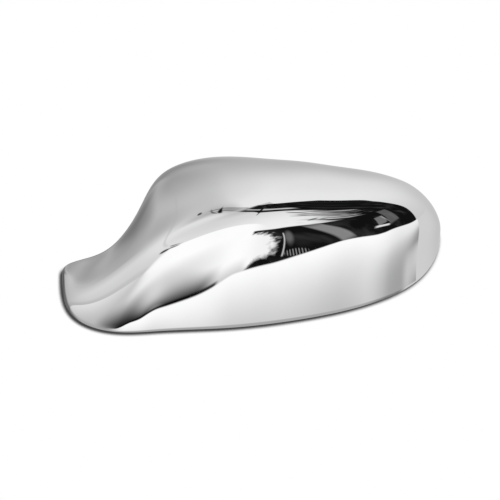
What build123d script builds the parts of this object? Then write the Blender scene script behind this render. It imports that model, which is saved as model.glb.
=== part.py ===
from build123d import *
import os
from math import cos, pi, radians, sin, tan

os.makedirs("parts", exist_ok=True)

# A wing mirror cover: one thin moulded shell with a broad head and a low neck.
# It lies on its rim, X along its length, Y from the edge near the viewer to the far edge, Z up.

# Driving dimensions, in millimetres and degrees
LENGTH = 250  # from the neck's tip to the outer tip
NECK_LENGTH = 62  # from the neck's tip to the shoulder where the head begins
HEAD_WIDTH = 120  # from the near edge to the far edge, just past the shoulder
NECK_WIDTH = 59  # from the near edge to the far edge of the neck
HEAD_HEIGHT = 75  # from the rim to the top of the head
NECK_HEIGHT = 29  # from the rim to the top of the neck, where it meets the shoulder
NECK_TIP = 47  # how far the neck's tip lies back from the near edge
OUTER_TIP = 77  # how far the outer tip lies back from the near edge
WALL = 2.5  # thickness of the shell
NEAR_LEAN = 23  # how far the near wall leans in from upright at the rim
FAR_LEAN = 2.5  # how far the far wall leans in from upright at the rim
FULLNESS = 0.1  # how far a section swells beyond a plain half oval

SPANS = 14  # stretches between sections along the length
STEPS = 8  # stretches between points across a section

UP = Vector(0, 0, 1)


def head(share):
    """Place along the length, as a share of the head from the shoulder to the outer tip."""
    return NECK_LENGTH + share * (LENGTH - NECK_LENGTH)


def shoulder(share):
    """Place across the width, as a share of the step from the neck's far edge to the head's."""
    return NECK_WIDTH + share * (HEAD_WIDTH - NECK_WIDTH)


def ridge(share):
    """Place across the width, as a share of the way from the neck's tip to the outer tip."""
    return NECK_TIP + share * (OUTER_TIP - NECK_TIP)


# The three guides, each from the neck's tip to the outer tip: both edges of the rim and the crown
NECK_POINT = Vector(0, NECK_TIP)
OUTER_POINT = Vector(LENGTH, OUTER_TIP)
NEAR_RIM = [
    NECK_POINT,
    Vector(0.13 * NECK_LENGTH, 0.28 * NECK_TIP),
    Vector(0.55 * NECK_LENGTH, 0.01 * NECK_TIP),
    Vector(head(0.02), 0.01 * OUTER_TIP),
    Vector(head(0.25), 0.04 * OUTER_TIP),
    Vector(head(0.5), 0.125 * OUTER_TIP),
    Vector(head(0.77), 0.31 * OUTER_TIP),
    Vector(head(0.935), 0.58 * OUTER_TIP),
    OUTER_POINT,
]
FAR_RIM = [
    NECK_POINT,
    Vector(0.15 * NECK_LENGTH, 0.9 * NECK_WIDTH),
    Vector(0.48 * NECK_LENGTH, NECK_WIDTH),
    Vector(0.76 * NECK_LENGTH, shoulder(0.34)),
    Vector(NECK_LENGTH, shoulder(0.85)),
    Vector(head(0.12), HEAD_WIDTH),
    Vector(head(0.37), 0.94 * HEAD_WIDTH),
    Vector(head(0.65), 0.895 * HEAD_WIDTH),
    Vector(head(0.87), 0.84 * HEAD_WIDTH),
    Vector(head(0.963), 0.765 * HEAD_WIDTH),
    OUTER_POINT,
]
CROWN = [
    NECK_POINT,
    Vector(0.29 * NECK_LENGTH, ridge(-0.06), 0.4 * NECK_HEIGHT),
    Vector(0.68 * NECK_LENGTH, ridge(0.03), NECK_HEIGHT),
    Vector(head(0.01), ridge(0.13), 0.66 * HEAD_HEIGHT),
    Vector(head(0.16), ridge(0.27), 0.855 * HEAD_HEIGHT),
    Vector(head(0.39), ridge(0.4), HEAD_HEIGHT),
    Vector(head(0.64), ridge(0.53), 0.93 * HEAD_HEIGHT),
    Vector(head(0.84), ridge(0.7), 0.79 * HEAD_HEIGHT),
    Vector(head(0.957), ridge(0.83), 0.46 * HEAD_HEIGHT),
    OUTER_POINT,
]


def smooth(points, start, end):
    """A smooth curve through the points that leaves and arrives along the two directions."""
    with BuildLine() as line:
        Spline(*points, tangents=[start, end], tangent_scalars=[1, 1])
    return line.edge()


def near_guide(points):
    return smooth(points, (0, -1), (0, 1))


def far_guide(points):
    return smooth(points, (0, 1), (0, -1))


def crown_guide(points):
    return smooth(points, (0, 0, 1), (0, 0, -1))


def moved_in(curve, points, inward, inset):
    """The curve's points, moved square to it. Both tips move along the length."""
    inner = [point + inward(curve % curve.param_at_point(point)) * inset for point in points[1:-1]]
    return [NECK_POINT + Vector(inset, 0, 0), *inner, OUTER_POINT - Vector(inset, 0, 0)]


def guides(inset):
    """Near rim, crown and far rim of a skin that lies this far inside the outer one."""
    near = near_guide(NEAR_RIM)
    crown = crown_guide(CROWN)
    far = far_guide(FAR_RIM)
    if inset == 0:
        return near, crown, far
    near_points = moved_in(near, NEAR_RIM, lambda along: UP.cross(along), inset)
    crown_points = moved_in(crown, CROWN, lambda along: UP.cross(along).normalized().cross(along), inset)
    far_points = moved_in(far, FAR_RIM, lambda along: along.cross(UP), inset)
    return near_guide(near_points), crown_guide(crown_points), far_guide(far_points)


def section(near, crown, far):
    """A full half oval from the near rim over the crown to the far rim, leaning in at both walls."""
    middle = (near + far) / 2
    half = (far - near) / 2
    across = half.normalized()
    height = crown.Z - near.Z
    steepness = height * (1 + 4 * FULLNESS)
    near_lean = across * steepness * tan(radians(NEAR_LEAN))
    far_lean = across * steepness * tan(radians(FAR_LEAN))
    shift = crown - UP * height - middle - (near_lean - far_lean) / 2
    points = []
    for step in range(STEPS + 1):
        turn = pi * step / STEPS
        rise = (1 + FULLNESS) * sin(turn) + FULLNESS * sin(3 * turn)
        lean = near_lean * (1 + cos(turn)) / 2 - far_lean * (1 - cos(turn)) / 2
        points.append(middle - half * cos(turn) + shift * sin(turn) ** 2 + lean * sin(turn) + UP * height * rise)
    return smooth(points, near_lean + UP * steepness, far_lean - UP * steepness)


def body(inset):
    """The solid under a skin that is drawn over its sections and guides."""
    near, crown, far = guides(inset)
    shares = [span / SPANS for span in range(1, SPANS)]
    sections = [section(near @ share, crown @ share, far @ share) for share in shares]
    skin = Face.make_gordon_surface([near @ 0, *sections, near @ 1], [near, crown, far])
    floor = Face(Wire(skin.edges()))
    return Solid(Shell([skin, floor]))


# The outer body is hollowed by the inner one, and the rim is left between their floors
with BuildPart() as mirror_cover:
    add(body(0))
    add(body(WALL), mode=Mode.SUBTRACT)

# The origin lies under the middle of the cover, on the plane of its rim
middle = mirror_cover.part.bounding_box().center()
cover = Pos(-middle.X, -middle.Y, 0) * mirror_cover.part
cover.label = "mirror_cover"
export_step(cover, "parts/mirror_cover.step")
print(cover.bounding_box(), round(cover.volume), cover.is_valid)
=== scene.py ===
# %% [markdown]
# # A bright wing mirror cover
# The cover is one thin moulded shell with a mirror-bright plating. A broad, domed head sweeps
# down to a low neck, and the whole shell lies on its rim. It has no seams, holes or moving parts,
# so all of its character is in the flow of its skin and in what the plating reflects.

import math

import bpy
import numpy as np
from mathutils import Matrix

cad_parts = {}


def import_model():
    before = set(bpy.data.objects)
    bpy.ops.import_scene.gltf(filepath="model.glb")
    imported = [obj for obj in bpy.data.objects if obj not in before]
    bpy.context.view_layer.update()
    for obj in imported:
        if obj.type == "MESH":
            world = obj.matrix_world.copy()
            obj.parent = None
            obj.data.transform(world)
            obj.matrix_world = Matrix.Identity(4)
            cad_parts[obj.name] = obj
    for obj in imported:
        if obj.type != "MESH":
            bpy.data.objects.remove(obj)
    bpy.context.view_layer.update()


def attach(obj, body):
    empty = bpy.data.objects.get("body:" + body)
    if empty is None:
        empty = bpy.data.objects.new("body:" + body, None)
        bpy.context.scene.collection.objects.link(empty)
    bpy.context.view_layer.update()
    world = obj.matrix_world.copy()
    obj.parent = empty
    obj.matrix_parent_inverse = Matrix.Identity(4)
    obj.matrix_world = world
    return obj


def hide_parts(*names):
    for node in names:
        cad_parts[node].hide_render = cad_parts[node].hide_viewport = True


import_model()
MM = 0.001

# %% [markdown]
# ## Three lines carry the form
# A designer draws such a shell from a few lines and lets the skin follow them. Here they are both
# edges of the rim and the crown, each from the neck's tip to the outer tip. The points are in
# millimetres from the neck's tip and the near edge. A plain handle curve would change its bend at
# each point, and a mirror shows that as a kink, so each line is a spline whose bend runs on evenly.

# %% Points of the three lines
NEAR_RIM = [(0, 47, 0), (8.1, 13.2, 0), (34.1, 0.5, 0), (65.8, 0.8, 0), (109, 3.1, 0), (156, 9.6, 0),
            (206.8, 23.9, 0), (237.8, 44.7, 0), (250, 77, 0)]
FAR_RIM = [(0, 47, 0), (9.3, 53.1, 0), (29.8, 59, 0), (47.1, 79.7, 0), (62, 110.9, 0), (84.6, 120, 0),
           (131.6, 112.8, 0), (184.2, 107.4, 0), (225.6, 100.8, 0), (243, 91.8, 0), (250, 77, 0)]
CROWN = [(0, 47, 0), (18, 45.2, 11.6), (42.2, 47.9, 29), (63.9, 50.9, 49.5), (92.1, 55.1, 64.1),
         (135.3, 59, 74.98), (182.3, 62.9, 69.8), (219.9, 68, 59.3), (241.9, 71.9, 34.5), (250, 77, 0)]


def smooth_line(points, leave, arrive):
    """A reader for the line through the points, by shares of its length, and its slopes there."""
    place = np.array(points, float)
    step = np.linalg.norm(np.diff(place, axis=0), axis=1)
    knot = np.concatenate([[0], np.cumsum(step)])
    last = len(place) - 1
    matrix = np.eye(last + 1)
    wanted = np.zeros_like(place)
    wanted[0] = leave
    wanted[last] = arrive
    for i in range(1, last):
        behind = step[i - 1]
        ahead = step[i]
        matrix[i, i - 1:i + 2] = ahead, 2 * (behind + ahead), behind
        rise = ahead * (place[i] - place[i - 1]) / behind + behind * (place[i + 1] - place[i]) / ahead
        wanted[i] = 3 * rise
    slope = np.linalg.solve(matrix, wanted)

    def read(shares):
        along = np.asarray(shares) * knot[-1]
        i = np.clip(np.searchsorted(knot, along, side="right") - 1, 0, last - 1)
        span = step[i][:, None]
        t = (along - knot[i])[:, None] / span
        start = (1 + 2 * t) * (1 - t) ** 2 * place[i] + t * (1 - t) ** 2 * span * slope[i]
        return start + t * t * (3 - 2 * t) * place[i + 1] + t * t * (t - 1) * span * slope[i + 1]

    return read, slope


print("Points", len(NEAR_RIM), "near,", len(FAR_RIM), "far and", len(CROWN), "on the crown")

# %% [markdown]
# ## The same lines, deeper in the wall
# The inside of the shell is drawn like the outside. Every point moves in square to its line by the
# same depth, and both tips move along the length.

# %% Lines at any depth
UP = np.array([0, 0, 1])


def lines_at(depth):
    """Readers for the near rim, the far rim and the crown of a skin this deep in the wall."""
    readers = []
    for points, leave, arrive, inward in (
        (NEAR_RIM, (0, -1, 0), (0, 1, 0), lambda along: np.cross(UP, along)),
        (FAR_RIM, (0, 1, 0), (0, -1, 0), lambda along: np.cross(along, UP)),
        (CROWN, (0, 0, 1), (0, 0, -1), lambda along: np.cross(np.cross(UP, along), along)),
    ):
        moved = np.array(points, float)
        slope = smooth_line(points, leave, arrive)[1]
        way = inward(slope[1:-1])
        moved[1:-1] += depth * way / np.linalg.norm(way, axis=1)[:, None]
        moved[0, 0] += depth
        moved[-1, 0] -= depth
        readers.append(smooth_line(moved, leave, arrive)[0])
    return readers


crown = lines_at(0)[2]
print("Crown's top", crown(np.linspace(0, 1, 200))[:, 2].max().round(2), "mm above the rim")

# %% [markdown]
# ## A half oval across the three lines
# Across its length the cover is a half oval, a little fuller than a plain one. The wall near the
# viewer leans in from the rim by a good twenty degrees, and the far wall is almost upright. Behind
# the crown the far shoulder swells by a millimetre or two in three places, which keeps the outline
# against the white straight and full.

# %% Section of the shell
NEAR_LEAN = math.tan(math.radians(23))
FAR_LEAN = math.tan(math.radians(2.5))
FULLNESS = 0.1
SWELLS = [(73, 28, 1.4), (170, 23, 1.9), (240, 12, 2.2)]  # place along the length, reach and height
SWELL_WAY = np.array([0, 0.82, 0.57])
SWELL_FADE = 5  # height in millimetres below which a swell dies away
NO_LENGTH = 1e-9  # keeps the tips, where both rims meet, from a division by zero


def skin_places(lines, shares, turns):
    """Places on the skin, for shares of its length and turns from the near rim over to the far rim."""
    near, far, top = (line(shares) for line in lines)
    middle = (near + far) / 2
    half = (far - near) / 2
    across = half / np.maximum(np.linalg.norm(half, axis=1), NO_LENGTH)[:, None]
    height = top[:, 2:]
    steepness = height * (1 + 4 * FULLNESS)  # how fast the rise below starts at the rim
    near_lean = across * steepness * NEAR_LEAN
    far_lean = across * steepness * FAR_LEAN
    shift = top - UP * height - middle - (near_lean - far_lean) / 2
    sine = np.sin(turns)[:, None]
    cosine = np.cos(turns)[:, None]
    rise = (1 + FULLNESS) * sine + FULLNESS * np.sin(3 * turns)[:, None]
    lean = near_lean * (1 + cosine) / 2 - far_lean * (1 - cosine) / 2
    swell = sum(tall * np.exp(-((top[:, :1] - at) / wide) ** 2) for at, wide, tall in SWELLS)
    behind = np.where(cosine < 0, np.sin(2 * turns)[:, None] ** 2, 0)
    lean = lean * sine + swell * behind * height / (height + SWELL_FADE) * SWELL_WAY
    return middle - half * cosine + shift * sine ** 2 + lean + UP * height * rise


print("Swells at", [swell[0] for swell in SWELLS], "mm from the neck's tip")

# %% [markdown]
# ## The skin
# A flat grid is added and laid over the three lines. Its rows lie closer together towards both
# tips, where the skin turns fastest. The first and the last row shrink to a point each, so their
# doubles are merged. A finer grid isn't needed: with smooth shading a facet of about a millimetre
# can't be seen in the plating. Every point keeps its share and its turn for the next step.

# %% Lay a grid over the lines
ROWS = 250
COLUMNS = 120
CROWDING = 0.8
SAME_PLACE = 0.001 * MM

bpy.ops.object.select_all(action="DESELECT")
bpy.ops.mesh.primitive_grid_add(x_subdivisions=ROWS, y_subdivisions=COLUMNS, size=1)
cover = bpy.context.object
cover.name = "cover_shell"
mesh = cover.data
flat = np.empty(len(mesh.vertices) * 3)
mesh.vertices.foreach_get("co", flat)
along = np.clip(flat[0::3] + 0.5, 0, 1)
shares = along - CROWDING * np.sin(2 * math.pi * along) / (2 * math.pi)
turns = np.clip(flat[1::3] + 0.5, 0, 1) * math.pi
places = skin_places(lines_at(0), shares, turns)
middle = (places.min(axis=0) + places.max(axis=0)) / 2
ORIGIN = np.array([middle[0], middle[1], 0])
mesh.vertices.foreach_set("co", ((places - ORIGIN) * MM).ravel())
for name, numbers in (("share", shares), ("turn", turns)):
    mesh.attributes.new(name, "FLOAT", "POINT").data.foreach_set("value", numbers)

bpy.ops.object.mode_set(mode="EDIT")
bpy.ops.mesh.select_all(action="SELECT")
bpy.ops.mesh.remove_doubles(threshold=SAME_PLACE)
bpy.ops.mesh.normals_make_consistent(inside=False)
bpy.ops.object.mode_set(mode="OBJECT")
if sum(face.normal.z * face.area for face in mesh.polygons) < 0:
    mesh.flip_normals()
print("Skin", len(mesh.polygons), "faces", cover.dimensions)

# %% [markdown]
# ## The wall
# Solidify adds the inner skin and closes the rim. At the tips, which are tighter than the wall is
# thick, its inside folds over itself, so the inner points are then laid over the lines at the
# wall's depth, by the share and the turn that they took over. They are the second half of the
# points. The inside takes the second material slot.

# %% Thicken the skin
WALL = 2.5

outer_points = len(mesh.vertices)
wall = cover.modifiers.new("Wall", "SOLIDIFY")
wall.thickness = WALL * MM
wall.offset = -1
bpy.ops.object.modifier_apply(modifier=wall.name)

shares, turns = np.empty((2, len(mesh.vertices)))
mesh.attributes["share"].data.foreach_get("value", shares)
mesh.attributes["turn"].data.foreach_get("value", turns)
places = skin_places(lines_at(WALL), shares, turns)
for vertex in mesh.vertices[outer_points:]:
    vertex.co = (places[vertex.index] - ORIGIN) * MM
for face in mesh.polygons:
    face.material_index = int(min(face.vertices) >= outer_points)
mesh.update()
print("Shell", len(mesh.polygons), "faces, lowest point", min(vertex.co.z for vertex in mesh.vertices))

# %% [markdown]
# ## The rim's edges
# A plated edge is never knife sharp. Both edges of the rim get a small round, as a bevel that
# follows a weight on each edge. The weight fades to nothing towards the tips, where the rows of the
# grid come together and leave no room for a round.

# %% Round the rim
RIM_ROUND = 0.5 * MM
SHARP_NEAR_TIP = 4 * MM
ROUND_FROM_TIP = 26 * MM
SMOOTH_UNDER = math.radians(45)

low = [abs(vertex.co.z) < SAME_PLACE for vertex in mesh.vertices]
under = {}
for face in mesh.polygons:
    is_rim = all(low[i] for i in face.vertices)
    for key in face.edge_keys:
        under.setdefault(key, []).append(is_rim)
tips = [pick(mesh.vertices, key=lambda vertex: vertex.co.x).co.copy() for pick in (min, max)]
weights = mesh.attributes.new("bevel_weight_edge", "FLOAT", "EDGE")
rounded = 0
for edge in mesh.edges:
    if sorted(under[edge.key]) == [False, True]:
        place = mesh.vertices[edge.vertices[0]].co
        from_tip = min((place - tip).length for tip in tips)
        room = (from_tip - SHARP_NEAR_TIP) / (ROUND_FROM_TIP - SHARP_NEAR_TIP)
        weights.data[edge.index].value = min(max(room, 0), 1)
        rounded += room > 0
rim = cover.modifiers.new("Rim", "BEVEL")
rim.limit_method = "WEIGHT"
rim.width = RIM_ROUND
rim.segments = 3
rim.use_clamp_overlap = False
bpy.ops.object.modifier_apply(modifier=rim.name)
bpy.ops.object.shade_smooth_by_angle(angle=SMOOTH_UNDER)
print("Rounded", rounded, "edges of the rim, now", len(mesh.polygons), "faces")

# %% [markdown]
# ## The plating
# Bright plating on plastic is a mirror with a trace of haze. The outside is almost clear. Inside,
# the moulding isn't polished first, so the plating there is dull. Both share one haze of fine
# specks and slow clouds, which only moves the roughness and the tone a little.

# %% Haze that both platings share
CLOUD_SCALE = 28
SPECK_SCALE = 900

haze = bpy.data.node_groups.new("Plating haze", "ShaderNodeTree")
haze.interface.new_socket("Tone", in_out="INPUT", socket_type="NodeSocketColor")
haze.interface.new_socket("Roughness", in_out="INPUT", socket_type="NodeSocketFloat")
haze.interface.new_socket("Spread", in_out="INPUT", socket_type="NodeSocketFloat")
haze.interface.new_socket("Color", in_out="OUTPUT", socket_type="NodeSocketColor")
haze.interface.new_socket("Roughness", in_out="OUTPUT", socket_type="NodeSocketFloat")
given = haze.nodes.new("NodeGroupInput")
result = haze.nodes.new("NodeGroupOutput")
place = haze.nodes.new("ShaderNodeTexCoord")
clouds = haze.nodes.new("ShaderNodeTexNoise")
clouds.inputs["Scale"].default_value = CLOUD_SCALE
clouds.inputs["Detail"].default_value = 4
specks = haze.nodes.new("ShaderNodeTexNoise")
specks.inputs["Scale"].default_value = SPECK_SCALE
specks.inputs["Detail"].default_value = 2
for texture in (clouds, specks):
    haze.links.new(place.outputs["Object"], texture.inputs["Vector"])
both = haze.nodes.new("ShaderNodeMath")
both.operation = "MULTIPLY"
haze.links.new(clouds.outputs["Fac"], both.inputs[0])
haze.links.new(specks.outputs["Fac"], both.inputs[1])
rough = haze.nodes.new("ShaderNodeMath")
rough.operation = "MULTIPLY_ADD"
haze.links.new(both.outputs[0], rough.inputs[0])
haze.links.new(given.outputs["Spread"], rough.inputs[1])
haze.links.new(given.outputs["Roughness"], rough.inputs[2])
haze.links.new(rough.outputs[0], result.inputs["Roughness"])
duller = haze.nodes.new("ShaderNodeMapRange")
duller.inputs["From Min"].default_value = 0.3
duller.inputs["From Max"].default_value = 0.7
duller.inputs["To Min"].default_value = 1
duller.inputs["To Max"].default_value = 0.96
haze.links.new(clouds.outputs["Fac"], duller.inputs["Value"])
tinted = haze.nodes.new("ShaderNodeVectorMath")
tinted.operation = "SCALE"
haze.links.new(given.outputs["Tone"], tinted.inputs[0])
haze.links.new(duller.outputs["Result"], tinted.inputs["Scale"])
haze.links.new(tinted.outputs["Vector"], result.inputs["Color"])
print("Haze", len(haze.nodes), "nodes")


# %% The two platings
def plating(name, tone, roughness, spread):
    """A plated finish with its own tone and haze."""
    material = bpy.data.materials.new(name)
    material.use_nodes = True
    nodes = material.node_tree.nodes
    shader = nodes["Principled BSDF"]
    shader.inputs["Metallic"].default_value = 1
    group = nodes.new("ShaderNodeGroup")
    group.node_tree = haze
    group.inputs["Tone"].default_value = (*tone, 1)
    group.inputs["Roughness"].default_value = roughness
    group.inputs["Spread"].default_value = spread
    material.node_tree.links.new(group.outputs["Color"], shader.inputs["Base Color"])
    material.node_tree.links.new(group.outputs["Roughness"], shader.inputs["Roughness"])
    return material


bright_plating = plating("Bright plating", (0.94, 0.94, 0.945), 0.006, 0.03)
dull_plating = plating("Dull plating", (0.55, 0.555, 0.56), 0.34, 0.2)
cover.data.materials.append(bright_plating)
cover.data.materials.append(dull_plating)
print("Finishes", [material.name for material in cover.data.materials])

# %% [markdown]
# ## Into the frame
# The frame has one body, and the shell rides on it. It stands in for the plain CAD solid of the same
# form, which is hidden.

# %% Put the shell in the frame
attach(cover, "root")
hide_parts("mirror_cover")
print("Shell", len(cover.data.polygons), "faces")

# %% [markdown]
# ## The surroundings
# A mirror has no colour of its own, so the room is half of the picture. The cover lay on a white
# table in a pale light tent, and the front of the tent was open to a dark room on the right. A
# picture of such a room would need a file, so the world is drawn by the direction of each ray
# instead, with its turn and its height in degrees: 0 turn is towards the viewer, and positive turns
# go to the right. Each helper below adds one node or a few, and then the tent is painted from the
# back to the front, as one tone that each step changes where its mask is 1.

# %% Helpers for any node tree
world = bpy.data.worlds.new("Tent")
bpy.context.scene.world = world
world.use_nodes = True
tree = world.node_tree
tree.nodes.clear()


def connect(source, socket):
    """Set a socket to a number, or link it to another socket."""
    if isinstance(source, (int, float)):
        socket.default_value = source
    else:
        tree.links.new(source, socket)


def value(operation, *sources):
    """A new value from one to three others."""
    node = tree.nodes.new("ShaderNodeMath")
    node.operation = operation
    for source, socket in zip(sources, node.inputs):
        connect(source, socket)
    return node.outputs[0]


def times(first, *others):
    """The product of all the values."""
    for other in others:
        first = value("MULTIPLY", first, other)
    return first


def inverse(mask):
    """1 where the mask is 0 and 0 where it is 1."""
    return value("SUBTRACT", 1, mask)


def smooth(source, start, end, low=0, high=1):
    """A smooth change from low to high as the source goes from start to end."""
    node = tree.nodes.new("ShaderNodeMapRange")
    node.interpolation_type = "SMOOTHSTEP"
    numbers = (source, start, end, low, high)
    for number, name in zip(numbers, ("Value", "From Min", "From Max", "To Min", "To Max")):
        connect(number, node.inputs[name])
    return node.outputs["Result"]


def past(source, limit, soft):
    """1 where the source is past the limit, with a soft edge."""
    return smooth(value("SUBTRACT", source, limit), -soft, soft)


def before(source, limit, soft):
    """1 where the source is short of the limit, with a soft edge."""
    return smooth(value("SUBTRACT", source, limit), -soft, soft, 1, 0)


def blend(mask, base, over):
    """Base where the mask is 0 and over where it is 1."""
    node = tree.nodes.new("ShaderNodeMix")
    for source, name in zip((mask, base, over), ("Factor_Float", "A_Float", "B_Float")):
        connect(source, next(socket for socket in node.inputs if socket.identifier == name))
    return node.outputs[0]


def dimmed(base, mask, left):
    """The base with only a share of its light left where the mask is 1."""
    return times(base, blend(mask, 1, left))


def apart(first, second):
    """How far two values are from each other."""
    return value("ABSOLUTE", value("SUBTRACT", first, second))


print("The world's tree is empty and has", len(tree.nodes), "nodes")

# %% Helpers for drawing by direction
split = tree.nodes.new("ShaderNodeSeparateXYZ")
tree.links.new(tree.nodes.new("ShaderNodeTexCoord").outputs["Generated"], split.inputs[0])
right_part = split.outputs["X"]
far_part = split.outputs["Y"]
turn = value("DEGREES", value("ARCTAN2", right_part, times(far_part, -1)))
height = value("DEGREES", value("ARCSINE", split.outputs["Z"]))


def steps(level, *changes):
    """A level that changes softly with the turn: each change has a start, an end and a rise."""
    for start, end, rise in changes:
        level = value("ADD", level, smooth(turn, start, end, 0, rise))
    return level


def leaning(at_turn, at_height, lean):
    """Degrees along and across a line through a place, which leans by some degrees."""
    cosine = math.cos(math.radians(lean))
    sine = math.sin(math.radians(lean))
    x = value("SUBTRACT", turn, at_turn)
    y = value("SUBTRACT", height, at_height)
    along = value("MULTIPLY_ADD", y, sine, times(x, cosine))
    across = value("MULTIPLY_ADD", x, -sine, times(y, cosine))
    return along, across


def reach(at_turn, at_height, wide, tall, lean=0):
    """Distance from the middle of an oval, as 1 on its edge."""
    along, across = leaning(at_turn, at_height, lean)
    x = value("DIVIDE", along, wide)
    y = value("DIVIDE", across, tall)
    return value("SQRT", value("MULTIPLY_ADD", x, x, times(y, y)))


def box(at_turn, at_height, wide, tall, lean=0):
    """Distance from the middle of a leaning rectangle, as 1 on its edge."""
    along, across = leaning(at_turn, at_height, lean)
    x = value("ABSOLUTE", value("DIVIDE", along, wide))
    return value("MAXIMUM", x, value("ABSOLUTE", value("DIVIDE", across, tall)))


def arch(at_turn, at_height, wide, tall):
    """Distance from the middle of an oval arch with straight legs, as 1 on its edge."""
    x = value("DIVIDE", value("SUBTRACT", turn, at_turn), wide)
    y = value("DIVIDE", value("MAXIMUM", value("SUBTRACT", height, at_height), 0), tall)
    return value("SQRT", value("MULTIPLY_ADD", x, x, times(y, y)))


def cloudy(wide, tall, lean=0):
    """Noise around 0, stretched along a line that leans."""
    along, across = leaning(0, 0, lean)
    place = tree.nodes.new("ShaderNodeCombineXYZ")
    connect(value("DIVIDE", along, wide), place.inputs["X"])
    connect(value("DIVIDE", across, tall), place.inputs["Y"])
    noise = tree.nodes.new("ShaderNodeTexNoise")
    noise.noise_dimensions = "2D"
    noise.inputs["Scale"].default_value = 1
    noise.inputs["Detail"].default_value = 3
    tree.links.new(place.outputs[0], noise.inputs["Vector"])
    return value("SUBTRACT", noise.outputs["Fac"], 0.5)


print("Directions are ready")

# %% [markdown]
# ## The tent's cloth
# The cloth is palest overhead and greyest low down, far behind on the left. There the mask comes
# from the angle to one direction and not from the turn, because all turns meet overhead and a
# change by the turn would end in a star. Three soft shades, on the left and low at the back, give
# the head its darker shoulder.

# %% Cloth
level = smooth(height, -45, 85, 0.58, 0.88)
to_corner = value("SUBTRACT", times(far_part, 0.87), times(right_part, 0.5))
level = dimmed(level, smooth(to_corner, 0.5, 1.05), 0.67)
level = times(level, smooth(reach(-141, 17, 17, 30, -25), 0.3, 1.2, 0.78, 1))
low_back = times(smooth(height, 4, -26), smooth(turn, -178, -164), smooth(turn, -147, -153))
level = dimmed(level, low_back, 0.65)
slope = value("MULTIPLY_ADD", turn, -1.33, height)
low_left = times(smooth(slope, 178, 157), smooth(turn, -156, -142), smooth(turn, -117, -123))
level = dimmed(level, low_left, 0.52)
print("Cloth drawn,", len(tree.nodes), "nodes so far")

# %% [markdown]
# ## Cloth under the inner hoop
# A hoop holds up a second cloth, which hangs under it and greys towards its top. Beside the hoop's
# left leg its hem lies in a soft shade. The hoop itself is drawn later, over the lit part.

# %% Hung cloth
inner_hoop = arch(-59.5, 49.3, 63.1, 21.9)
upper_left = times(smooth(turn, -125, -75), past(height, 46, 6))
hung = times(before(inner_hoop, 0.985, 0.015), value("MAXIMUM", smooth(turn, -75, 0), upper_left))
cloth_tone = times(smooth(height, 5, 60, 0.95, 0.72), smooth(height, 58, 71, 1, 0.8))
level = blend(hung, level, cloth_tone)
hem = times(smooth(apart(inner_hoop, 1.06), 0.26, 0), past(height, 41, 6), smooth(turn, -80, -105))
level = dimmed(level, hem, 0.62)
print("Hung cloth drawn")

# %% [markdown]
# ## A pale panel on the left
# A panel with a round top stands on the left and draws the long curved edge over the neck. The cloth
# around it is painted a shade darker, as in a fold, and its foot lies in shade.

# %% Panel
panel = reach(-40, -12, 51, 36.5)
# painted shade: the cloth darker in a band around the panel, as in a fold
fold_shade = times(smooth(panel, 1.05, 1.2, 0.86, 1), smooth(panel, 1, 1.7, 0.85, 1))
level = dimmed(level, before(turn, -27, 3), fold_shade)
paleness = smooth(value("MULTIPLY_ADD", height, -1.6, turn), -110, -20, 0.8, 0.52)
level = blend(times(before(panel, 0.992, 0.008), before(turn, -15, 15)), level, paleness)
foot = times(smooth(height, -8, -21), smooth(turn, -145, -115), smooth(turn, -70, -40, 1, 0))
level = dimmed(level, foot, 0.3)
print("Panel drawn")

# %% [markdown]
# ## The lit part of the cloth
# In front of the cover the hung cloth is lit. It is white in a wide oval and a little greyer above.
# A tone over 1 makes sure that the plating, which swallows some light, still shows it white.

# %% Lit cloth
LIT = 1.06

slanted = value("MULTIPLY_ADD", height, 0.75, turn)
front = smooth(slanted, -13, smooth(height, 12, 26, 6, -5))
level = blend(times(front, before(turn, 26, 6)), level, cloth_tone)
bright_middle = times(front, before(reach(-30, 5, 46, 34.5), 1, 0.02), before(turn, 10, 4))
level = blend(bright_middle, level, LIT)
print("Lit cloth drawn")

# %% [markdown]
# ## Hoops, cord and clips
# Both hoops are thin dark lines with a shade between them, and a cord hangs below on the left. The
# clips and the streaks at the cloth's right end are small dark ovals. Each has its place, its half
# width and half height, its lean, and the share of light that it leaves.

# %% Hoops and clips
outer_hoop = arch(-74, 45.3, 56.2, 31.2)
between = times(before(outer_hoop, 0.992, 0.008), past(inner_hoop, 1.02, 0.01), past(turn, -127, 4))
level = dimmed(level, times(between, past(height, 50, 3)), 0.66)
for hoop, middle_line, first, last in (
    (outer_hoop, 0.998, -135, -80),
    (inner_hoop, 1.02, -124, -12),
):
    line = before(apart(hoop, middle_line), 0.016, 0.01)
    line = times(line, past(turn, first, 5), before(turn, last, 12), past(height, 49, 4))
    level = dimmed(level, line, 0.55)
cord = before(apart(reach(-70, 0, 75, 45), 1), 0.016, 0.012)
cord = times(cord, smooth(turn, -132, -118), before(turn, -56, 8), past(height, 20, 8))
level = dimmed(level, cord, 0.85)
for at_turn, at_height, wide, tall, lean, left in (
    (-43.5, 39.2, 5, 1.5, -10, 0.1),  # near clip
    (-42, 42.4, 7, 0.6, -10, 0.4),  # its upper arm
    (-37, 39.7, 5, 0.8, -12, 0.3),  # its end
    (-122.5, 53.5, 9.5, 0.95, 27, 0.02),  # far clip
    (-129.3, 47, 3.2, 0.5, 82, 0.35),  # its upper arm
    (-123.5, 50, 9, 0.45, 40, 0.35),  # its lower arm
    (-129.2, 40.9, 1.6, 0.6, 40, 0.15),  # its loose end
    (1.8, 51.5, 4.5, 0.8, 88, 0.15),  # four streaks towards the cloth's end
    (24.5, 33, 4.5, 0.8, -48, 0.1),
    (25, 18.6, 2.1, 0.5, 54, 0.35),
    (26.9, 18.5, 1.2, 0.35, 29, 0.2),
):
    clip = before(reach(at_turn, at_height, wide, tall, lean), 1, 0.4)
    level = dimmed(level, clip, left)
print("Hoops drawn,", len(tree.nodes), "nodes so far")
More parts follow.
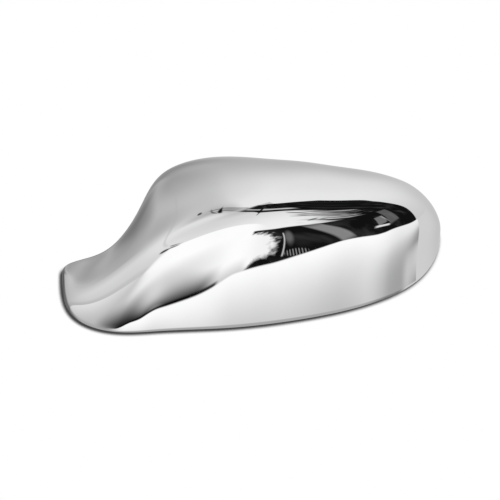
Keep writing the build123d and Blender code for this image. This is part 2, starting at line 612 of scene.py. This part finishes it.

# %% [markdown]
# ## The table's edge
# The table ends a little below the cover's own level. Its edge rises and falls by a few degrees. On
# the left the cover's shade gathers over it, dark and close along the edge and fainter higher up, and
# a thin line of almost black painted shade runs where the two meet.

# %% Edge and shade
edge = steps(-9.6, (-16, -4, 2.8), (-1, 7, 2.7), (14, 27, 2.8), (26, 44, -5.6), (40, 68, -6.2))
over = value("SUBTRACT", height, edge)
from_left = smooth(turn, -40, -11)
close_shade = smooth(over, 0, steps(22, (-12, 2, -15)), 0.03, 1)
level = dimmed(level, times(from_left, before(turn, 2, 1.5)), close_shade)
wide_shade = smooth(over, -4, 26, 0.45, 1)
level = dimmed(level, times(from_left, smooth(turn, -8, 5, 1, 0)), wide_shade)
right_shade = smooth(over, -2, 5, 0.55, 1)
level = dimmed(level, times(past(turn, 2, 1.5), before(turn, 8.5, 1)), right_shade)
# painted shade: its almost black core, a thin line right along the table's edge
shade_core = times(before(over, 0.9, 0.4), past(turn, -14, 2), before(turn, 3, 0.5))
level = dimmed(level, shade_core, 0.06)
print("Edge drawn")

# %% [markdown]
# ## The dark room
# The room shows under and over the lit cloth, and to the right of it as far as the tent's pole.
# Where the cloth's foot meets the room, noise frays the border like smoke. Longer noise draws the
# folds at the cloth's right end. Over the hoop, a strip of cloth with a dark knot crosses the room.

# %% Opening
cloth_foot = steps(16, (5, 17, -3.6), (22, 34, 4))
smoke = cloudy(1.6, 1.6)
lit_foot = before(value("MULTIPLY_ADD", smoke, 0.4, reach(5, 3.5, 10.3, 9.5)), 1, 0.14)
creeping = before(value("MULTIPLY_ADD", smoke, 2, over), smooth(turn, 7.6, 11.5, 0, 2.3), 0.9)
under_cloth = value("MAXIMUM", inverse(lit_foot), creeping)
under_cloth = times(under_cloth, past(turn, 8.2, 0.6), before(height, cloth_foot, 0.5))
over_arch = value("MULTIPLY_ADD", inner_hoop, 55, -53.4)
over_end = value("ADD", height, value("MULTIPLY_ADD", turn, 0.6, -55))
lift = blend(past(turn, 2, 2), over_arch, over_end)
knot = before(reach(0.3, 63, 5.5, 2.4, 88), 1, 0.3)
strip = before(apart(lift, 9), 2.4, 0.8)
strip = times(strip, past(turn, -70, 15), before(turn, 28, 3), inverse(knot))
folds = before(value("MULTIPLY_ADD", cloudy(9, 2, -20), 30, turn), 29, 6)
cloth = value("MAXIMUM", times(before(lift, 0, 0.8), folds), strip)
over_cloth = times(inverse(cloth), past(height, cloth_foot, 0.5), smooth(turn, -95, -40))
lintel = steps(82.5, (0, 78, -18.5))
pole = value("ADD", smooth(height, 5, 36, 69.3, 62.8), smooth(height, 46, 62, 0, 8))
room = value("ADD", under_cloth, over_cloth)
room = times(room, before(turn, pole, 0.5), before(height, lintel, 0.5), past(over, 0, 0.3))
level = dimmed(level, strip, 0.75)
level = blend(room, level, smooth(cloudy(5, 14, 30), -0.05, 0.3, 0.006, 0.03))
print("Dark room drawn")

# %% [markdown]
# ## Things in the room
# A few pale things stand in the dark: a drape, a window of two panes with its sill, and a bowed
# post with a row of bars beside it. They are added to the room's tone, so they end where it ends.

# %% Pale things
for shape, at_turn, at_height, wide, tall, lean, soft, bright in (
    (box, 26.3, 5, 7.2, 1.6, -66, 0.3, 0.24),  # drape
    (box, 47, 6.5, 10, 3.2, -77, 0.12, 0.1),  # far pane
    (box, 41.2, 3, 4.3, 2.2, -80, 0.12, 0.17),  # near pane
    (box, 41.7, -2.5, 3.6, 0.6, -19, 0.3, 0.75),  # sill
    (reach, 43.6, 2.7, 4.7, 0.4, -66, 0.5, 0.2),  # bar across the panes
    (reach, 18.3, 5, 0.7, 3.4, 0, 0.6, 0.12),  # dim upright beside the post
):
    thing = smooth(shape(at_turn, at_height, wide, tall, lean), 1 - soft, 1 + soft, bright, 0)
    level = value("ADD", level, times(thing, room))
post = before(apart(reach(12, 5, 5.4, 14), 1), 0.025, 0.015)
post = times(post, past(turn, 14, 1), past(height, -2.6, 0.3), before(height, 7.8, 0.5))
level = value("ADD", level, times(post, room, 0.5))
bars = smooth(value("SINE", times(turn, 13)), 0, 0.8, 0, 0.24)
bars = times(bars, before(reach(18.9, -1.9, 2.1, 1.2), 0.9, 0.2))
level = value("ADD", level, times(bars, room))
print("Pale things drawn")

# %% [markdown]
# ## The table
# The table is white near its edge and falls into the cover's own shade close by. Past the pole it is
# an even pale grey. Steeply below, towards the viewer, it is painted almost black, as the table right
# beside the cover lying in its shade, so that the rim's small round ends the cover in a dark line.

# %% Table
below = times(over, -1)
table = times(smooth(below, 0, steps(13, (10, 32, 4)), LIT, 0.42), smooth(turn, 36, 52, 1, 0.86))
table = dimmed(table, times(smooth(below, 4, 9.5), smooth(turn, 34, 46)), 0.6)
beside = times(before(value("MULTIPLY_ADD", turn, 0.417, height), 4.5, 0.8), past(turn, 57, 4))
table = blend(value("MAXIMUM", past(turn, 70.5, 0.7), beside), table, 0.67)
table = blend(smooth(turn, -24, -6, 1, 0), table, 0.4)
front_edge = blend(smooth(turn, -30, -12), past(below, 0, 4), past(below, 0, 0.3))
on_table = times(front_edge, smooth(turn, 80, 130, 1, 0), smooth(turn, -75, -40))
level = blend(on_table, level, table)
# painted shade: the table right beside the cover, in the cover's shadow
under_rim = times(smooth(height, -26, -55), smooth(turn, -160, -130), smooth(turn, 60, 85, 1, 0))
level = dimmed(level, under_rim, 0.12)
print("Table drawn,", len(tree.nodes), "nodes so far")

# %% [markdown]
# ## What the camera sees behind the cover
# The camera's own rays meet plain white, and all others meet the tent.

# %% World output
paths = tree.nodes.new("ShaderNodeLightPath")
background = tree.nodes.new("ShaderNodeBackground")
tree.links.new(blend(paths.outputs["Is Camera Ray"], level, 1), background.inputs["Color"])
output = tree.nodes.new("ShaderNodeOutputWorld")
tree.links.new(background.outputs[0], output.inputs["Surface"])
print("World nodes", len(tree.nodes))

# %% [markdown]
# ## The floor
# The floor is plain white to the camera, apart from a thin dark line where the rim stands on it.
# Ambient occlusion over a few millimetres draws that line. The light came from behind on the right,
# so the occlusion looks that way: the line is dark in front and at the neck, and fades at the back.
# The plating already meets the table in the world, so only the camera sees the floor, and from
# below it is clear, which lets the inside be seen.

# %% White floor with a contact shadow
LIGHT_FROM = (0.5, 0.6, 0.62)
FLOOR_SIZE = 6
FLOOR_DROP = 0.2 * MM
CONTACT_REACH = 4 * MM

bpy.ops.object.select_all(action="DESELECT")
bpy.ops.mesh.primitive_plane_add(size=FLOOR_SIZE, location=(0, 0, -FLOOR_DROP))
floor = bpy.context.object
floor.name = "floor"
floor.visible_glossy = False
floor.visible_diffuse = False
floor.visible_transmission = False
floor.visible_shadow = False
paper = bpy.data.materials.new("White paper")
paper.use_nodes = True
tree = paper.node_tree
tree.nodes.clear()
light_way = tree.nodes.new("ShaderNodeCombineXYZ")
for part, socket in zip(LIGHT_FROM, light_way.inputs):
    socket.default_value = part
contact = tree.nodes.new("ShaderNodeAmbientOcclusion")
contact.inputs["Distance"].default_value = CONTACT_REACH
contact.samples = 32
tree.links.new(light_way.outputs[0], contact.inputs["Normal"])
white = tree.nodes.new("ShaderNodeEmission")
tree.links.new(smooth(contact.outputs["AO"], 0.6, 0.95, 0.06, 1), white.inputs["Color"])
sides = tree.nodes.new("ShaderNodeNewGeometry")
either = tree.nodes.new("ShaderNodeMixShader")
tree.links.new(sides.outputs["Backfacing"], either.inputs["Fac"])
tree.links.new(white.outputs[0], either.inputs[1])
tree.links.new(tree.nodes.new("ShaderNodeBsdfTransparent").outputs[0], either.inputs[2])
output = tree.nodes.new("ShaderNodeOutputMaterial")
tree.links.new(either.outputs[0], output.inputs["Surface"])
floor.data.materials.append(paper)
print("Floor", tuple(floor.dimensions))

# %% [markdown]
# ## The camera
# The photograph looks down at the cover from in front of its near edge, with a long lens. The focal
# length is given in picture widths, so it holds for any sensor.

# %% Camera
ELEVATION = math.radians(55)
DISTANCE = 0.967
TARGET = (-0.0018, -0.0158, 0.029)
FOCAL = 3.0184
SENSOR = 36

camera_data = bpy.data.cameras.new("camera")
camera_data.sensor_width = SENSOR
camera_data.lens = SENSOR * FOCAL
camera = bpy.data.objects.new("camera", camera_data)
bpy.context.collection.objects.link(camera)
back = DISTANCE * math.cos(ELEVATION)
camera.location = (TARGET[0], TARGET[1] - back, TARGET[2] + DISTANCE * math.sin(ELEVATION))
camera.rotation_euler = (math.pi / 2 - ELEVATION, 0, 0)
bpy.context.scene.camera = camera
bpy.context.scene.view_settings.view_transform = "Standard"
print("Camera at", tuple(camera.location))
